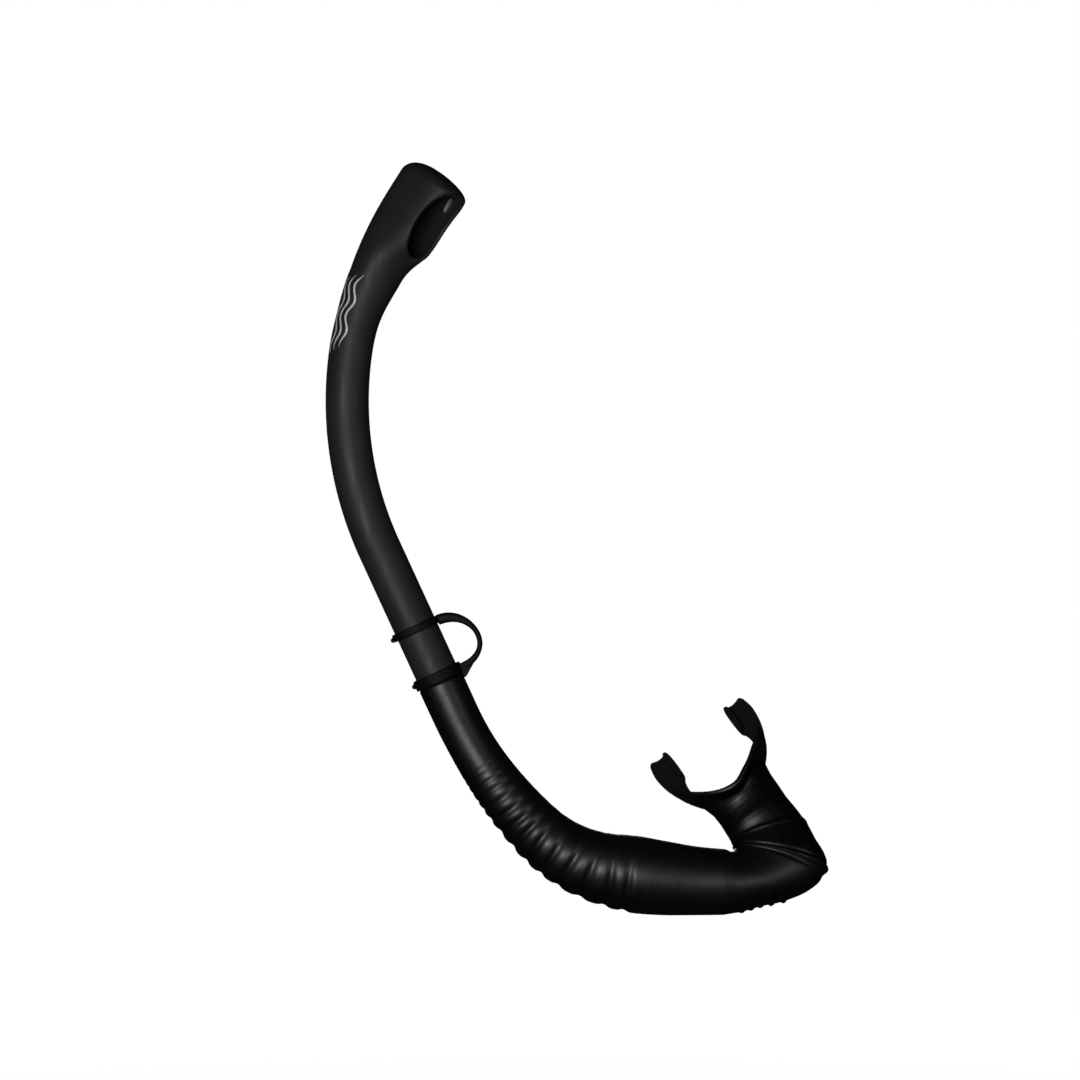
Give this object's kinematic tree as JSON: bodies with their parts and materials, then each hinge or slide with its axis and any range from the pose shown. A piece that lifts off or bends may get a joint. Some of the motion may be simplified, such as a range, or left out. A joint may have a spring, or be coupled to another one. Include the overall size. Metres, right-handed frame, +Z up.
{
  "type": "snorkel tube",
  "caption": "J-shaped diving snorkel: curved rigid barrel with a scoop top, strap keeper, corrugated flexible hose and soft mouthpiece with bite tabs.",
  "frame": {"origin": "on the barrel's axis, midway along the strap keeper, where a mask strap holds the snorkel", "axes": "+Z up with the barrel upright as worn, the J lies in the X-Z plane with the mouthpiece on the +X side, and the snorkel's front faces -Y"},
  "size_m": [0.2807, 0.071, 0.4201],
  "materials": {
    "barrel_plastic": "satin, finely textured moulded plastic",
    "keeper_silicone": "matte",
    "hose_silicone": "satin to semi-gloss",
    "insert_plastic": "satin",
    "mouth_silicone": "satin"
  },
  "bodies": {
    "keeper": {"keeper": "keeper_silicone"},
    "barrel": {"barrel": "barrel_plastic"},
    "cuff": {"hose_cuff": "hose_silicone"},
    "fold_1": {"hose_fold_1": "hose_silicone"},
    "fold_2": {"hose_fold_2": "hose_silicone"},
    "fold_3": {"hose_fold_3": "hose_silicone"},
    "fold_4": {"hose_fold_4": "hose_silicone"},
    "fold_5": {"hose_fold_5": "hose_silicone"},
    "elbow": {"hose_elbow": "hose_silicone", "port_insert": "insert_plastic", "mouthpiece": "mouth_silicone"}
  },
  "joints": [
    {"name": "tube_slide", "type": "slide", "parent": "keeper", "child": "barrel", "axis": [0.4179, 0, -0.9085], "range_m": [0, 0.04]},
    {"name": "hose_twist", "type": "hinge", "parent": "barrel", "child": "cuff", "pos_m": [0, 0, 0], "axis": [0.4179, 0, -0.9085], "continuous": true},
    {"name": "hose_flex_1", "type": "hinge", "parent": "cuff", "child": "fold_1", "pos_m": [0.03564, 0, -0.06925], "axis": [0, -1, 0], "range_deg": [-6, 11.5], "stiffness_Nm_per_rad": 3, "deforming": ["hose_fold_1"]},
    {"name": "hose_side_1", "type": "hinge", "parent": "fold_1", "child": "fold_2", "pos_m": [0.04642, 0, -0.08365], "axis": [0.7767, 0, 0.6299], "range_deg": [-8, 8], "stiffness_Nm_per_rad": 3, "deforming": ["hose_fold_2"]},
    {"name": "hose_flex_2", "type": "hinge", "parent": "fold_2", "child": "fold_3", "pos_m": [0.05829, 0, -0.09718], "axis": [0, -1, 0], "range_deg": [-6, 11.5], "stiffness_Nm_per_rad": 3, "deforming": ["hose_fold_3"]},
    {"name": "hose_side_2", "type": "hinge", "parent": "fold_3", "child": "fold_4", "pos_m": [0.07161, 0, -0.10924], "axis": [0.5883, 0, 0.8086], "range_deg": [-8, 8], "stiffness_Nm_per_rad": 3, "deforming": ["hose_fold_4"]},
    {"name": "hose_flex_3", "type": "hinge", "parent": "fold_4", "child": "fold_5", "pos_m": [0.08724, 0, -0.1181], "axis": [0, -1, 0], "range_deg": [-6, 11.5], "stiffness_Nm_per_rad": 3, "deforming": ["hose_fold_5"]},
    {"name": "hose_side_3", "type": "hinge", "parent": "fold_5", "child": "elbow", "pos_m": [0.10445, 0, -0.12322], "axis": [0.1807, 0, 0.9835], "range_deg": [-8, 8], "stiffness_Nm_per_rad": 3}
  ],
  "couplings": [
    {"joint": "hose_flex_2", "follows": "hose_flex_1", "ratio": 1},
    {"joint": "hose_flex_3", "follows": "hose_flex_1", "ratio": 1},
    {"joint": "hose_side_2", "follows": "hose_side_1", "ratio": 1},
    {"joint": "hose_side_3", "follows": "hose_side_1", "ratio": 1}
  ]
}
